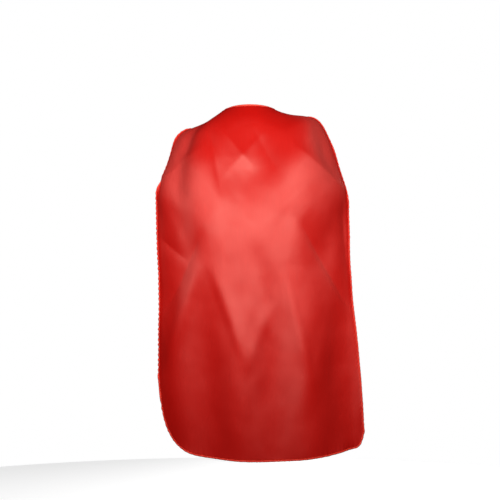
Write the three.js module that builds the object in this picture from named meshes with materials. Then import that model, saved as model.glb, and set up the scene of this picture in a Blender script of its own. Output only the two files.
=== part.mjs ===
// Superhero cape in satin, hanging as it is worn: one panel gathered over the shoulders, a bound
// neckline and two closing tabs. Millimetres. The origin is the centre of the neck opening at the
// height of the nape, +Z is up, +Y is the wearer's front and +X is the wearer's right.
import * as THREE from "three";

// Neckline and closing tabs.
const NECK_RADIUS = 60; // from the neck's centre to the sewn edge
const NECK_DROP = 18; // how much lower the neckline is at the throat than at the nape
const PANEL_REACH = 118; // degrees each way from the nape to the tab seams
const TAB_END = 192; // degrees from the nape to a tab's rounded end, so the tabs overlap at the throat
const TAB_WIDTH = 28;
const TAB_LIFT = 5.4; // how far the over tab rides above the under tab where they overlap
const SLOPE_SIDE = 20; // degrees the cloth slopes down away from the neckline over the shoulders
const SLOPE_EXTRA = 20; // extra slope at the nape and at the throat

// Cloth and trim.
const CLOTH = 0.8; // one layer of cloth
const LAYER = 0.4; // each layer inside a tab
const GAP = 0.3; // between pieces that touch
const BINDING_HEIGHT = 6;
const BINDING_CLOTH = 0.6;
const BINDING_GAP = 0.5; // room for the cloth inside the binding
const HEM_RADIUS = 1.6; // rolled and overlocked edge
const THREAD = 0.5;
const TAPE = 1.2; // hook or loop tape
const BARTACK = 4; // width of the dense stitches at a tab's seam, in threads
const STITCH_MARGIN = 3; // from a tab's edge to its stitches
const TAB_CORNER = 9; // rounding of a tab's end
const PATCH_FIRST = 172; // degrees from the nape to each end of a closing patch
const PATCH_LAST = 188;
const PATCH_INSET = 5; // from a tab's long edges
const TAB_SEAM_ANGLE = 1.3; // degrees left free between the panel and a tab
const LABEL_GAP = 0.8; // between the label and the cloth it hangs against
const FACE_LOW = LAYER / 2 + GAP; // height of a tab's face and facing above and below its middle
const FACE_HIGH = FACE_LOW + LAYER;

// Drape: the cape is about 0.86 m long and 0.47 m wide at the elbows.
const LENGTH = 857; // nape to the middle of the hem
const HEM = -LENGTH;
const ELBOW = -212; // height of the upper side corners, over the wearer's elbows
const ELBOW_HALF_WIDTH = 232;
const HEM_HALF_WIDTH = 243;
const HEM_RISE = 24; // how much higher the hem is at the sides than in the middle
const LEFT_CORNER = 95; // rounding of the hem's corners
const RIGHT_CORNER = 18;
const SWAY = 30; // the hem hangs this far to the wearer's right
const SHOULDER_RAISE = 20; // the right shoulder is this much higher
const SHOULDER_DROP = 10; // and the left this much lower
const FOLD_DEPTH = 7; // of the soft folds at the hem
const FOLD_COUNT = 3; // folds on each side of the middle
const WAIST_SPLIT = 160; // drop of the line that the skirt swings about

// Each station is one line across the panel. It gives the cloth's place at the middle of the back,
// halfway out and at the edge, as [out from the middle, forward, up].
const STATIONS = [
  { back: [0, -100, -44], half: [98, -66, -35], edge: [122, 30, -28] },
  { back: [0, -116, -78], half: [122, -86, -59], edge: [161, 6, -35] },
  { back: [0, -130, -135], half: [132, -114, -130], edge: [202, -14, -110] },
  { back: [0, -138, ELBOW], half: [134, -128, ELBOW], edge: [ELBOW_HALF_WIDTH, -38, ELBOW] },
  { back: [0, -143, -420], half: [133, -134, -418], edge: [ELBOW_HALF_WIDTH + 3, -62, -414] },
  { back: [0, -150, -640], half: [136, -140, -634], edge: [ELBOW_HALF_WIDTH + 8, -70, -622] },
  { back: [0, -157, HEM], half: [140, -146, HEM + 8], edge: [HEM_HALF_WIDTH, -76, HEM + HEM_RISE] },
];
const STATION_COUNT = STATIONS.length + 2; // with the neckline and the line through the tab seams

const PANEL_COLUMNS = 30;
const UPPER_ROWS = 12;
const LOWER_ROWS = 14;

const satin = new THREE.MeshStandardMaterial({ color: 0xb5160f, roughness: 0.4, metalness: 0 });
const trim = new THREE.MeshStandardMaterial({ color: 0xd93a22, roughness: 0.5, metalness: 0 });
const thread = new THREE.MeshStandardMaterial({ color: 0xe24a2e, roughness: 0.7, metalness: 0 });
const lining = new THREE.MeshStandardMaterial({ color: 0xe8e4dc, roughness: 0.9, metalness: 0 });
const tape = new THREE.MeshStandardMaterial({ color: 0x9c1510, roughness: 0.9, metalness: 0 });
const label = new THREE.MeshStandardMaterial({ color: 0xf4f3ee, roughness: 0.6, metalness: 0 });

const radians = (degrees) => (degrees * Math.PI) / 180;

// A point near the neckline, by its angle from the nape and its distance from the sewn edge.
function neckPoint(degrees, distance) {
  const angle = radians(degrees);
  const slope = radians(SLOPE_SIDE + SLOPE_EXTRA * Math.cos(angle) ** 2);
  const radius = NECK_RADIUS + distance * Math.cos(slope);
  const height = (-NECK_DROP * (1 - Math.cos(angle))) / 2 - distance * Math.sin(slope);
  return new THREE.Vector3(radius * Math.sin(angle), -radius * Math.cos(angle), height);
}

// The point at place u, from -1 at the left edge to 1 at the right edge, on one line of the panel.
function stationPoint(station, u) {
  const mirrored = ([x, y, z]) => new THREE.Vector3(-x, y, z);
  const line = new THREE.CatmullRomCurve3([
    mirrored(station.edge),
    mirrored(station.half),
    new THREE.Vector3(...station.back),
    new THREE.Vector3(...station.half),
    new THREE.Vector3(...station.edge),
  ]);
  return line.getPoint((u + 1) / 2);
}

// How far down the panel has come, from 0 at the neckline to 1 at the hem.
const dropShare = (point) => THREE.MathUtils.clamp(-point.z / LENGTH, 0, 1);

// The wearer's raised shoulder, the sideways hang and the folds, added to the even drape.
function settle(point, u) {
  const down = dropShare(point);
  const atShoulders = Math.exp(-(((point.z + 60) / 110) ** 2));
  const shoulder = atShoulders * THREE.MathUtils.smoothstep(Math.abs(point.x), 80, 160);
  const fold = FOLD_DEPTH * down ** 1.5 * Math.cos(2 * Math.PI * FOLD_COUNT * u);
  point.z += (point.x > 0 ? SHOULDER_RAISE : -SHOULDER_DROP) * shoulder;
  point.x += SWAY * down ** 1.2;
  point.y -= fold;
  return point;
}

// The whole length of the panel at place u.
function lengthwise(u) {
  const degrees = u * PANEL_REACH;
  const points = [neckPoint(degrees, 0), neckPoint(degrees, TAB_WIDTH)];
  STATIONS.forEach((station) => points.push(stationPoint(station, u)));
  return new THREE.CatmullRomCurve3(points.map((point) => settle(point, u)));
}

// The hem's rounded corners shorten the panel near its edges.
function hemEnd(u) {
  const radius = u > 0 ? RIGHT_CORNER : LEFT_CORNER;
  const flat = 1 - radius / HEM_HALF_WIDTH;
  const past = Math.max(0, (Math.abs(u) - flat) / (1 - flat));
  const rise = radius * (1 - Math.sqrt(Math.max(0, 1 - past * past)));
  return 1 - rise / LENGTH / 1.1;
}

// The place along the panel's length where it has dropped to the line the skirt swings about.
function splitPlace(curve) {
  let low = 2 / (STATION_COUNT - 1);
  let high = 6 / (STATION_COUNT - 1);
  for (let step = 0; step < 24; step++) {
    const middle = (low + high) / 2;
    if (curve.getPoint(middle).z > -WAIST_SPLIT) low = middle;
    else high = middle;
  }
  return low;
}

// A point on the cloth, its normal away from the wearer and its direction down the cloth.
function clothFrame(u, placeOf) {
  const step = 1e-3;
  const at = (place) => lengthwise(place).getPoint(placeOf(place, lengthwise(place)));
  const curve = lengthwise(u);
  const place = placeOf(u, curve);
  const position = curve.getPoint(place);
  const across = at(Math.min(1, u + step)).sub(at(Math.max(-1, u - step)));
  const down = curve.getPoint(Math.min(1, place + step)).sub(curve.getPoint(Math.max(0, place - step)));
  const normal = new THREE.Vector3().crossVectors(down, across).normalize();
  return { position, normal, across: across.normalize(), down: down.normalize() };
}

// A closed sheet between two grids of points: rows of equal length, outer side first.
function closedSheet(outer, inner) {
  const rows = outer.length;
  const columns = outer[0].length;
  const vertices = [...outer.flat(), ...inner.flat()];
  const front = (row, column) => row * columns + column;
  const behind = (row, column) => rows * columns + row * columns + column;
  const faces = [];
  const quad = (a, b, c, d) => faces.push(a, b, c, a, c, d);
  const lastRow = rows - 1;
  const lastColumn = columns - 1;
  for (let row = 0; row < lastRow; row++)
    for (let column = 0; column < lastColumn; column++) {
      const under = row + 1;
      const beside = column + 1;
      quad(front(row, column), front(under, column), front(under, beside), front(row, beside));
      quad(behind(row, column), behind(row, beside), behind(under, beside), behind(under, column));
    }
  for (let row = 0; row < lastRow; row++) {
    const under = row + 1;
    const end = lastColumn;
    quad(front(row, 0), behind(row, 0), behind(under, 0), front(under, 0));
    quad(front(row, end), front(under, end), behind(under, end), behind(row, end));
  }
  for (let column = 0; column < lastColumn; column++) {
    const beside = column + 1;
    quad(front(0, column), front(0, beside), behind(0, beside), behind(0, column));
    quad(front(lastRow, column), behind(lastRow, column), behind(lastRow, beside), front(lastRow, beside));
  }
  return indexed(vertices, faces);
}

// A profile of [along, above] pairs carried through frames of position, along and above.
// A closed path joins its last frame to its first.
function sweep(profile, frames, closed) {
  const corners = profile.length;
  const vertices = frames.flatMap(({ position, along, above }) =>
    profile.map(([a, b]) => position.clone().addScaledVector(along, a).addScaledVector(above, b)),
  );
  const faces = [];
  const rings = closed ? frames.length : frames.length - 1;
  for (let ring = 0; ring < rings; ring++) {
    const next = (ring + 1) % frames.length;
    for (let corner = 0; corner < corners; corner++) {
      const turn = (corner + 1) % corners;
      const a = ring * corners + corner;
      const b = ring * corners + turn;
      const c = next * corners + turn;
      const d = next * corners + corner;
      faces.push(a, d, c, a, c, b);
    }
  }
  if (!closed) {
    const outline = profile.map(([a, b]) => new THREE.Vector2(a, b));
    const last = (frames.length - 1) * corners;
    for (const [a, b, c] of THREE.ShapeUtils.triangulateShape(outline, [])) {
      faces.push(a, b, c);
      faces.push(last + a, last + c, last + b);
    }
  }
  return indexed(vertices, faces);
}

function indexed(vertices, faces) {
  const geometry = new THREE.BufferGeometry().setFromPoints(vertices);
  geometry.setIndex(faces);
  return facingOut(geometry);
}

// Turns a geometry's faces round if they face inwards.
function facingOut(geometry) {
  const position = geometry.getAttribute("position");
  const index = Array.from(geometry.index.array);
  const corner = (place) => new THREE.Vector3().fromBufferAttribute(position, index[place]);
  let volume = 0;
  for (let face = 0; face < index.length; face += 3)
    volume += corner(face).dot(corner(face + 1).cross(corner(face + 2)));
  if (volume < 0)
    for (let face = 0; face < index.length; face += 3)
      [index[face + 1], index[face + 2]] = [index[face + 2], index[face + 1]];
  geometry.setIndex(index);
  geometry.computeVertexNormals();
  return geometry;
}

const cape = new THREE.Group();

function add(name, geometry, material) {
  const mesh = new THREE.Mesh(geometry, material);
  mesh.name = name;
  cape.add(mesh);
}

// Evenly spaced numbers from first to last.
function spread(first, last, count) {
  return Array.from({ length: count + 1 }, (_, i) => first + ((last - first) * i) / count);
}

// Columns of the panel, closer together towards its edges, where the hem's corners are rounded.
const columns = spread(-1, 1, PANEL_COLUMNS).map(
  (even) => 0.4 * even + 0.6 * Math.sin((even * Math.PI) / 2),
);

// A strip of the panel between two heights, as thick as given, standing off the cloth's middle.
function clothSheet(places, firstOf, lastOf, rows, low, high) {
  const grid = (offset) =>
    spread(0, 1, rows).map((share) =>
      places.map((u) => {
        const placeOf = (at, curve) => THREE.MathUtils.lerp(firstOf(at, curve), lastOf(at, curve), share);
        const { position, normal } = clothFrame(u, placeOf);
        return position.addScaledVector(normal, offset);
      }),
    );
  return closedSheet(grid(high), grid(low));
}

const BINDING_REACH = 0.985; // of the neckline; the tab seams take in the rest
const NECK_EDGE = 0.001; // place of the binding's fold along the panel's length
const NECK_START = 0.006; // place of the panel's top edge, inside the binding
const SPLIT_GAP = 0.0006; // between the panel's two lengths
const LABEL_TOP = 0.036;
const LABEL_BOTTOM = 0.2;
const LABEL_REACH = 0.12; // half the label's width, as a share of the panel's half width

function panel() {
  const split = (_, curve) => splitPlace(curve);
  const above = (_, curve) => splitPlace(curve) - SPLIT_GAP;
  const upper = clothSheet(columns, () => NECK_START, above, UPPER_ROWS, -CLOTH / 2, CLOTH / 2);
  const lower = clothSheet(columns, split, hemEnd, LOWER_ROWS, -CLOTH / 2, CLOTH / 2);
  add("panel_upper", upper, satin);
  add("panel_lower", lower, satin);
}

// The rolled hem's section, clear of the cloth's edge.
function hemProfile() {
  const sides = 6;
  return spread(0, sides - 1, sides - 1).map((side) => {
    const angle = (2 * Math.PI * side) / sides;
    return [HEM_RADIUS + GAP + HEM_RADIUS * Math.cos(angle), HEM_RADIUS * Math.sin(angle)];
  });
}

// The rolled hem along the panel's left (-1) or right (1) edge, between two places.
function edgeHem(side, firstOf, lastOf, steps) {
  const curve = lengthwise(side);
  const frames = spread(firstOf(curve), lastOf(curve), steps).map((place) => {
    const { position, normal, down } = clothFrame(side, () => place);
    const along = new THREE.Vector3().crossVectors(down, normal).multiplyScalar(-side).normalize();
    return { position, along, above: normal };
  });
  return sweep(hemProfile(), frames, false);
}

const TAB_SEAM_PLACE = 1 / (STATION_COUNT - 1);

function edgeHems() {
  const clear = 0.004;
  const seam = () => TAB_SEAM_PLACE + clear;
  const above = (curve) => splitPlace(curve) - clear / 4;
  const below = (curve) => splitPlace(curve) + clear / 4;
  const corner = (side) => () => hemEnd(side) - clear;
  for (const [side, word] of [
    [1, "right"],
    [-1, "left"],
  ]) {
    add("front_hem_" + word, edgeHem(side, seam, above, 18), trim);
    add("side_hem_" + word, edgeHem(side, below, corner(side), 14), trim);
  }
}

function bottomHem() {
  const points = columns.map((u) => clothFrame(u, hemEnd));
  const frames = points.map(({ position, normal }, i) => {
    const before = points[Math.max(0, i - 1)].position;
    const after = points[Math.min(points.length - 1, i + 1)].position;
    const run = after.clone().sub(before).normalize();
    const along = new THREE.Vector3().crossVectors(run, normal).normalize();
    if (along.z > 0) along.negate();
    return { position, along, above: normal };
  });
  add("bottom_hem", sweep(hemProfile(), frames, false), trim);
}

// Position, direction away from the neck along the cloth, and normal, at an angle on the neckline.
function neckFrame(degrees, distance) {
  const position = neckPoint(degrees, distance);
  const along = neckPoint(degrees, distance + 1).sub(position).normalize();
  const run = neckPoint(degrees + 0.5, distance).sub(neckPoint(degrees - 0.5, distance));
  const above = new THREE.Vector3().crossVectors(along, run).normalize();
  if (above.z < 0) above.negate();
  return { position, along, above };
}

// Frames along the panel's top edge, short of the tab seams: down the cloth, and away from the wearer.
function necklineFrames() {
  return columns.map((u) => {
    const place = THREE.MathUtils.clamp(u, -BINDING_REACH, BINDING_REACH);
    const { position, normal, down } = clothFrame(place, () => NECK_EDGE);
    return { position, along: down, above: normal };
  });
}

// A folded strip that takes in the panel's top edge, open towards the cloth.
function neckBinding() {
  const inside = CLOTH / 2 + BINDING_GAP;
  const outside = inside + BINDING_CLOTH;
  const fold = -BINDING_CLOTH;
  const profile = [
    [fold, -outside],
    [BINDING_HEIGHT, -outside],
    [BINDING_HEIGHT, -inside],
    [0, -inside],
    [0, inside],
    [BINDING_HEIGHT, inside],
    [BINDING_HEIGHT, outside],
    [fold, outside],
  ];
  add("neck_binding", sweep(profile, necklineFrames(), false), trim);
}

// The run of stitches that holds the binding closed.
function bindingStitching() {
  const height = CLOTH / 2 + BINDING_GAP + BINDING_CLOTH + GAP / 2;
  const down = BINDING_HEIGHT - 1.5;
  const profile = [
    [down - THREAD, height],
    [down + THREAD, height],
    [down + THREAD, height + THREAD],
    [down - THREAD, height + THREAD],
  ];
  add("binding_stitching", sweep(profile, necklineFrames().slice(1, -1), false), thread);
}

// The over tab rises as it comes to the overlap; the under tab lies on the chest.
function tabLift(side, degrees) {
  if (side < 0) return 0;
  return TAB_LIFT * THREE.MathUtils.smoothstep(degrees, PANEL_REACH + 8, 158);
}

// A point on a tab: its angle from the nape, its distance from the neckline and its height.
function tabPoint(side, degrees, distance, height) {
  const { position, above } = neckFrame(degrees, distance);
  position.addScaledVector(above, height + tabLift(side, degrees));
  position.x *= side;
  return position;
}

// Angles along a tab from near its seam to near its rounded end, closer together at the end.
function tabAngles(first, last, count) {
  return spread(0, 1, count).map((share) => first + (last - first) * Math.sin((share * Math.PI) / 2));
}

// How much a margin measured in millimetres is in degrees, at the neckline.
const marginAngle = (margin) => (margin / NECK_RADIUS) * 45;

// How far a tab's long edges draw in at its rounded end.
function tabInset(degrees, margin) {
  const corner = TAB_CORNER - margin;
  const reach = THREE.MathUtils.radToDeg(corner / (NECK_RADIUS + TAB_WIDTH / 2));
  const start = TAB_END - marginAngle(margin) - reach;
  const past = THREE.MathUtils.clamp((degrees - start) / reach, 0, 1);
  return corner * (1 - Math.sqrt(1 - past ** 2));
}

// One layer of a tab between two heights, drawn in from the tab's outline by a margin.
function tabLayer(side, margin, low, high) {
  const first = PANEL_REACH + TAB_SEAM_ANGLE + marginAngle(margin);
  const angles = tabAngles(first, TAB_END - marginAngle(margin), 16);
  const grid = (height) =>
    angles.map((degrees) => {
      const inset = margin + tabInset(degrees, margin);
      const across = spread(inset, TAB_WIDTH - inset, 3);
      return across.map((distance) => tabPoint(side, degrees, distance, height));
    });
  return closedSheet(grid(high), grid(low));
}

function tab(side, word) {
  add(word + "_tab_face", tabLayer(side, 0, FACE_LOW, FACE_HIGH), satin);
  add(word + "_tab_interfacing", tabLayer(side, 2, -LAYER / 2, LAYER / 2), lining);
  add(word + "_tab_facing", tabLayer(side, 0, -FACE_HIGH, -FACE_LOW), satin);
  tabStitching(side, word);
  tabBartack(side, word);
}

// A section of thread that rests on a piece, beside its path.
const threadSection = [
  [-THREAD / 2, 0],
  [THREAD / 2, 0],
  [THREAD / 2, THREAD],
  [-THREAD / 2, THREAD],
];

// A closed run of stitches through [degrees, distance] pairs on a tab, on its face or on its facing.
function stitchLoop(side, pairs, onFace) {
  const height = onFace ? FACE_HIGH + GAP / 2 : -FACE_HIGH - GAP / 2;
  const path = pairs.map(([degrees, distance]) => tabPoint(side, degrees, distance, height));
  const frames = path.map((position, i) => {
    const after = path[(i + 1) % path.length];
    const before = path[(i + path.length - 1) % path.length];
    const above = neckFrame(pairs[i][0], pairs[i][1]).above;
    above.x *= side;
    if (!onFace) above.negate();
    const along = new THREE.Vector3().crossVectors(after.clone().sub(before), above).normalize();
    return { position, along, above };
  });
  return sweep(threadSection, frames, true);
}

// The run of stitches round a tab's face, a few millimetres in from its edge.
function tabStitching(side, word) {
  const angles = tabAngles(PANEL_REACH + 5, TAB_END - 2.5, 14);
  const inner = angles.map((degrees) => [degrees, STITCH_MARGIN + tabInset(degrees, STITCH_MARGIN)]);
  const outer = [...inner].reverse().map(([degrees, distance]) => [degrees, TAB_WIDTH - distance]);
  add(word + "_tab_stitching", stitchLoop(side, [...inner, ...outer], true), thread);
}

// The bar of dense stitches that sews a tab to the panel's front corner.
function tabBartack(side, word) {
  const degrees = PANEL_REACH + 2.6;
  const frames = spread(2, TAB_WIDTH - 2, 4).map((distance) => {
    const above = neckFrame(degrees, distance).above;
    above.x *= side;
    const position = tabPoint(side, degrees, distance, FACE_HIGH + GAP / 2);
    const run = tabPoint(side, degrees, distance + 1, 0).sub(position);
    const along = new THREE.Vector3().crossVectors(run, above).normalize();
    return { position, along, above };
  });
  const section = threadSection.map(([a, b]) => [BARTACK * a, b]);
  add(word + "_tab_bartack", sweep(section, frames, false), thread);
}

// A closing patch of hook or loop tape on a tab's face or facing, and the stitches that show behind it.
function patch(side, word, onFace) {
  const near = FACE_HIGH + GAP;
  const sign = onFace ? 1 : -1;
  const across = spread(PATCH_INSET, TAB_WIDTH - PATCH_INSET, 3);
  const grid = (height) =>
    spread(PATCH_FIRST, PATCH_LAST, 6).map((degrees) =>
      across.map((distance) => tabPoint(side, degrees, distance, height)),
    );
  add(word + "_patch", closedSheet(grid(sign * near), grid(sign * (near + TAPE))), tape);
  const inset = PATCH_INSET + 1.5;
  const low = spread(PATCH_FIRST + 1, PATCH_LAST - 1, 6).map((degrees) => [degrees, inset]);
  const high = [...low].reverse().map(([degrees]) => [degrees, TAB_WIDTH - inset]);
  add(word + "_patch_stitching", stitchLoop(side, [...low, ...high], !onFace), thread);
}

// The blank care label, sewn inside the nape, and the stitches along its top.
function careLabel() {
  const depth = CLOTH / 2 + LABEL_GAP;
  const places = spread(-LABEL_REACH, LABEL_REACH, 6);
  const sheet = clothSheet(places, () => LABEL_TOP, () => LABEL_BOTTOM, 5, -depth - LAYER, -depth);
  add("care_label", sheet, label);
  const frames = places.map((u) => {
    const { position, normal, down } = clothFrame(u * 0.9, () => LABEL_TOP + 0.01);
    return { position, along: down, above: normal };
  });
  const lift = -depth - LAYER - GAP / 2 - THREAD;
  const section = threadSection.map(([a, b]) => [a, lift + b]);
  add("care_label_stitching", sweep(section, frames, false), thread);
}

panel();
edgeHems();
bottomHem();
neckBinding();
bindingStitching();
tab(1, "right");
tab(-1, "left");
patch(1, "hook", false);
patch(-1, "loop", true);
careLabel();
export default cape;
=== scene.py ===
"""Superhero cape in red satin, as worn: cloth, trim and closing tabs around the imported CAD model."""

import math

import bmesh
import bpy
import numpy as np
from mathutils import Matrix, Vector, noise


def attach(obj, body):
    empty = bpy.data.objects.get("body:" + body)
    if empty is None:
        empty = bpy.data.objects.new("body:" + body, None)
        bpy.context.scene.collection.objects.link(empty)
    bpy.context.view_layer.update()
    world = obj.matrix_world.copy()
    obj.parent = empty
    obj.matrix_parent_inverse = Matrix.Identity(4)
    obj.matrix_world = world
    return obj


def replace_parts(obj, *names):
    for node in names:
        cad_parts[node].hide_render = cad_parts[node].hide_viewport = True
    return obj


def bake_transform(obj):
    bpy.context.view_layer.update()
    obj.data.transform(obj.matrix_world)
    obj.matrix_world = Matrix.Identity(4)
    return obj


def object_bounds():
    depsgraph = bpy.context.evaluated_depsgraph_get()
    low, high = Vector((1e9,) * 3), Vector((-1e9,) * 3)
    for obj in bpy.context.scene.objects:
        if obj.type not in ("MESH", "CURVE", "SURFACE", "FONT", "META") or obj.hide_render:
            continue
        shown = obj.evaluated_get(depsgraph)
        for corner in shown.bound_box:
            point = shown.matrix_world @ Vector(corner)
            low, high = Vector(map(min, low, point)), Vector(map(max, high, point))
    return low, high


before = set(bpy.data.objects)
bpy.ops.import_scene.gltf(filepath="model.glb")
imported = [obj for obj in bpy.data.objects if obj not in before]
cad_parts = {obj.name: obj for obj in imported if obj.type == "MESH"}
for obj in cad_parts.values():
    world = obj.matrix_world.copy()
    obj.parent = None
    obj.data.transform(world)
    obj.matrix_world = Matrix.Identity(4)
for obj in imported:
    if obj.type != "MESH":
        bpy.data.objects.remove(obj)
CAD_BOX = [list(corner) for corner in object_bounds()]
scene = bpy.context.scene
MM = 0.001

# The neckline and the tabs, in millimetres and degrees from the nape, as the CAD model has them.
NECK_RADIUS = 60
NECK_DROP = 18
PANEL_REACH = 118
TAB_END = 192
TAB_WIDTH = 28
TAB_LIFT = 5.4
TAB_CORNER = 9
SLOPE_SIDE = 20
SLOPE_EXTRA = 20
PATCH_FIRST = 172
PATCH_LAST = 188
PATCH_INSET = 5
ARC = 1.29  # length of a tab's middle line for each degree round the neck

# The drape, in millimetres: each station is one line across the panel, with the cloth's place at
# the middle of the back, halfway out and at the edge.
LENGTH = 857
LEFT_CORNER = 95
RIGHT_CORNER = 18
HEM_HALF_WIDTH = 243
SLACK = 1.1  # the cloth's own length, as a share of its drop
SWAY = 30
SHOULDER_RAISE = 20
SHOULDER_DROP = 10
FOLD_DEPTH = 3
FOLD_COUNT = 3
STATIONS = [
    ((0, -100, -44), (98, -66, -35), (122, 30, -28)),
    ((0, -116, -78), (122, -86, -59), (161, 6, -35)),
    ((0, -130, -135), (132, -114, -130), (202, -14, -110)),
    ((0, -138, -212), (134, -128, -212), (232, -38, -212)),
    ((0, -143, -420), (133, -134, -418), (235, -62, -414)),
    ((0, -150, -640), (136, -140, -634), (240, -70, -622)),
    ((0, -157, -857), (140, -146, -849), (243, -76, -833)),
]

# Cloth and trim, in millimetres.
CLOTH = 0.5
COLUMNS = 56
ROWS = 88
REFINE = 3
DRAPE_FRAMES = 70
CALM = 14
EDGE_CALM = 3
HELD_ROWS = 5
BINDING_HEIGHT = 6
HEM_HALF = 2.3
HEM_THICK = 1.3
PUCKER = 14
TAB_THICK = 0.85
LABEL_TOP = 2  # rows of the cloth's grid, from the neckline to the label's sewn end
LABEL_ROWS = 12
LABEL_REACH = 0.085  # half the label's width, as a share of the grid's columns

# The studio, in metres. A photographer stands behind the wearer, level with the small of the back.
CAMERA_TARGET = Vector((0, -0.05, -0.355))
CAMERA_DISTANCE = 3.2
FLOOR_RADIUS = 2.2
HEM_ABOVE_FLOOR = 0.3595


def smoothstep(value, low, high):
    """0 below low, 1 above high, and a smooth rise between them."""
    share = np.clip((value - low) / (high - low), 0, 1)
    return share * share * (3 - 2 * share)


def unit(vectors):
    """Vectors of length 1 along the last axis."""
    return vectors / np.maximum(np.linalg.norm(vectors, axis=-1, keepdims=True), 1e-12)


# ---------------- the shape as worn


def neck_point(degrees, distance):
    """A point near the neckline, by its angle from the nape and its distance from the sewn edge."""
    angle = math.radians(degrees)
    slope = math.radians(SLOPE_SIDE + SLOPE_EXTRA * math.cos(angle) ** 2)
    radius = NECK_RADIUS + distance * math.cos(slope)
    height = -NECK_DROP * (1 - math.cos(angle)) / 2 - distance * math.sin(slope)
    return np.array([radius * math.sin(angle), -radius * math.cos(angle), height])


def curve_point(points, place):
    """A point on the smooth curve through points, at place 0 to 1 (a centripetal Catmull-Rom curve)."""
    last = len(points) - 1
    at = place * last
    first = min(int(at), last - 1)
    t = at - first
    b, c = points[first], points[first + 1]
    a = points[first - 1] if first > 0 else 2 * b - c
    d = points[first + 2] if first + 2 <= last else 2 * c - b
    ab, bc, cd = (max(np.linalg.norm(q - p) ** 0.5, 1e-4) for p, q in ((a, b), (b, c), (c, d)))
    leaving = ((b - a) / ab - (c - a) / (ab + bc) + (c - b) / bc) * bc
    arriving = ((c - b) / bc - (d - b) / (bc + cd) + (d - c) / cd) * bc
    square = (3 * (c - b) - 2 * leaving - arriving) * t**2
    cube = (2 * (b - c) + leaving + arriving) * t**3
    return b + leaving * t + square + cube


def station_point(station, u):
    """The point at place u, from -1 at the left edge to 1 at the right edge, of one station."""
    back, half, edge = (np.array(point, float) for point in station)
    mirror = np.array([-1, 1, 1])
    return curve_point([edge * mirror, half * mirror, back, half, edge], (u + 1) / 2)


def settle(point, u):
    """Adds the raised shoulder, the sideways hang and the soft folds to the even drape."""
    down = min(1, max(0, -point[2] / LENGTH))
    at_shoulders = math.exp(-(((point[2] + 60) / 110) ** 2))
    shoulder = at_shoulders * smoothstep(abs(point[0]), 80, 160)
    fold = FOLD_DEPTH * down**1.5 * math.cos(2 * math.pi * FOLD_COUNT * u)
    point[2] += (SHOULDER_RAISE if point[0] > 0 else -SHOULDER_DROP) * shoulder
    point[0] += SWAY * down**1.2
    point[1] -= fold
    return point


def lengthwise(u):
    """The points that the panel's length runs through at place u."""
    degrees = u * PANEL_REACH
    points = [neck_point(degrees, 0), neck_point(degrees, TAB_WIDTH)]
    points += [station_point(station, u) for station in STATIONS]
    return [settle(point, u) for point in points]


def hem_end(u):
    """Where the panel ends at place u: the hem's rounded corners shorten it near its edges."""
    radius = RIGHT_CORNER if u > 0 else LEFT_CORNER
    flat = 1 - radius / HEM_HALF_WIDTH
    past = max(0, (abs(u) - flat) / (1 - flat))
    rise = radius * (1 - math.sqrt(max(0, 1 - past**2)))
    return 1 - rise / LENGTH / SLACK


def even_places(points, count):
    """Places along a curve, from 0 to 1, that are the same length apart."""
    fine = np.linspace(0, 1, 400)
    line = np.array([curve_point(points, place) for place in fine])
    lengths = np.r_[0, np.cumsum(np.linalg.norm(np.diff(line, axis=0), axis=1))]
    return np.interp(np.linspace(0, lengths[-1], count + 1), lengths, fine)


def worn_grid():
    """The panel's middle surface in metres, as [row, column, xyz], from neckline to hem."""
    places = even_places(lengthwise(0.0), ROWS)
    # Columns stand closer together towards the edges, where the cloth turns most.
    even = np.linspace(-1, 1, COLUMNS + 1)
    across = 0.55 * even + 0.45 * np.sin(even * math.pi / 2)
    grid = np.zeros((ROWS + 1, COLUMNS + 1, 3))
    for column, u in enumerate(across):
        points = lengthwise(u)
        for row, place in enumerate(places):
            grid[row, column] = curve_point(points, place * hem_end(u))
    seam_rows = int(np.searchsorted(places, 1 / (len(STATIONS) + 1)))
    return grid * MM, seam_rows


# ---------------- meshes


def mesh_piece(name, vertices, faces, uvs=None, finish=(), face_finish=None):
    """An object of these vertices and faces, smooth, with a UV in metres for each vertex."""
    mesh = bpy.data.meshes.new(name)
    mesh.from_pydata(np.asarray(vertices, float).tolist(), [], faces)
    if uvs is not None:
        corners = np.zeros(len(mesh.loops), int)
        mesh.loops.foreach_get("vertex_index", corners)
        layer = mesh.uv_layers.new(name="cloth")
        layer.data.foreach_set("uv", np.asarray(uvs, np.float32)[corners].ravel())
    for material in finish:
        mesh.materials.append(material)
    if face_finish is not None:
        mesh.polygons.foreach_set("material_index", np.asarray(face_finish, np.int32))
    mesh.polygons.foreach_set("use_smooth", np.ones(len(mesh.polygons), bool))
    mesh.update()
    piece = bpy.data.objects.new(name, mesh)
    scene.collection.objects.link(piece)
    return piece


def grid_faces(rows, columns, first=0, flip=False):
    """Four-sided faces over a grid of vertices numbered by row from first."""
    faces = []
    for row in range(rows - 1):
        for column in range(columns - 1):
            a = first + row * columns + column
            face = (a, a + columns, a + columns + 1, a + 1)
            faces.append(face[::-1] if flip else face)
    return faces


def rim_of(rows, columns):
    """The vertex numbers round the outside of a grid, in order."""
    top = list(range(columns))
    right = [row * columns + columns - 1 for row in range(1, rows)]
    bottom = [(rows - 1) * columns + column for column in range(columns - 2, -1, -1)]
    left = [row * columns for row in range(rows - 2, 0, -1)]
    return top + right + bottom + left


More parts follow.
